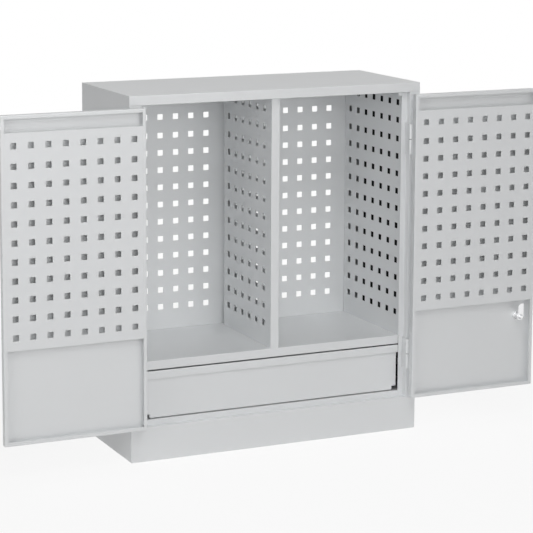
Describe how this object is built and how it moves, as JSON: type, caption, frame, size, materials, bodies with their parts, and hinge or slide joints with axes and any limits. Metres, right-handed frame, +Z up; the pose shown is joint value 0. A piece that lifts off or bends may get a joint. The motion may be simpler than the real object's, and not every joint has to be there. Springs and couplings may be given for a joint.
{
  "type": "tool cabinet",
  "caption": "Sheet steel tool cabinet with two hinged doors, perforated inner walls, a middle divider, a shelf, a drawer on roller runners and a plinth.",
  "frame": {"origin": "middle of the footprint, on the floor that the plinth stands on", "axes": "+Z up, +X to the right as seen from the front, and the cabinet's front faces -Y"},
  "size_m": [1.288, 0.333, 0.8],
  "materials": {
    "coat": "satin light grey powder coat",
    "zinc": "zinc plated",
    "chrome": "polished",
    "nylon": "natural nylon"
  },
  "bodies": {
    "cabinet": {"left_side_panel": "coat", "right_side_panel": "coat", "top_panel": "coat", "back_panel": "coat", "plinth": "coat", "plinth_brace": "zinc", "bottom_panel": "coat", "shelf": "coat", "door_stops": "coat", "left_liner": "coat", "right_liner": "coat", "divider_left_skin": "coat", "divider_right_skin": "coat", "left_runner_bracket": "zinc", "right_runner_bracket": "zinc", "left_cabinet_runner": "zinc", "right_cabinet_runner": "zinc", "front_roller_axles": "zinc", "left_upper_frame_leaf": "coat", "left_lower_frame_leaf": "coat", "right_upper_frame_leaf": "coat", "right_lower_frame_leaf": "coat", "left_hinge_pins": "zinc", "right_hinge_pins": "zinc"},
    "left_door": {"left_door_shell": "coat", "left_door_panel": "coat", "left_upper_door_leaf": "coat", "left_lower_door_leaf": "coat"},
    "right_door": {"right_door_shell": "coat", "right_door_panel": "coat", "right_upper_door_leaf": "coat", "right_lower_door_leaf": "coat", "lock_housing": "chrome", "lock_nut": "chrome"},
    "lock": {"lock_plug": "chrome", "lock_cam": "chrome", "cam_nut": "zinc"},
    "drawer": {"drawer_front": "coat", "drawer_inner_front": "coat", "drawer_bottom": "coat", "drawer_back_wall": "coat", "drawer_left_wall": "coat", "drawer_right_wall": "coat", "left_drawer_runner": "zinc", "right_drawer_runner": "zinc", "rear_roller_axles": "zinc"},
    "front_rollers": {"left_front_roller": "nylon", "right_front_roller": "nylon"},
    "rear_rollers": {"left_rear_roller": "nylon", "right_rear_roller": "nylon"},
    "left_washers": {"left_hinge_washers": "zinc"},
    "right_washers": {"right_hinge_washers": "zinc"}
  },
  "joints": [
    {"name": "left_door_hinge", "type": "hinge", "parent": "cabinet", "child": "left_door", "pos_m": [-0.323, -0.15375, 0.179], "axis": [0, 0, -1], "range_deg": [-180, 0]},
    {"name": "right_door_hinge", "type": "hinge", "parent": "cabinet", "child": "right_door", "pos_m": [0.323, -0.15375, 0.179], "axis": [0, 0, 1], "range_deg": [-180, 0]},
    {"name": "drawer_slide", "type": "slide", "parent": "cabinet", "child": "drawer", "axis": [0, -1, 0], "range_m": [0, 0.19]},
    {"name": "lock_turn", "type": "hinge", "parent": "right_door", "child": "lock", "pos_m": [0.6075, -0.17, 0.245], "axis": [0, -1, 0], "range_deg": [-90, 0]},
    {"name": "front_roller_spin", "type": "hinge", "parent": "cabinet", "child": "front_rollers", "pos_m": [0, -0.10505, 0.12], "axis": [1, 0, 0], "continuous": true},
    {"name": "rear_roller_spin", "type": "hinge", "parent": "drawer", "child": "rear_rollers", "pos_m": [0, 0.11, 0.12], "axis": [1, 0, 0], "continuous": true},
    {"name": "left_washer_spin", "type": "hinge", "parent": "cabinet", "child": "left_washers", "pos_m": [-0.323, -0.15375, 0.179], "axis": [0, 0, 1], "continuous": true},
    {"name": "right_washer_spin", "type": "hinge", "parent": "cabinet", "child": "right_washers", "pos_m": [0.323, -0.15375, 0.179], "axis": [0, 0, 1], "continuous": true}
  ],
  "couplings": [
    {"joint": "front_roller_spin", "follows": "drawer_slide", "rad_per_m": 100.5},
    {"joint": "rear_roller_spin", "follows": "drawer_slide", "rad_per_m": 100.5}
  ]
}
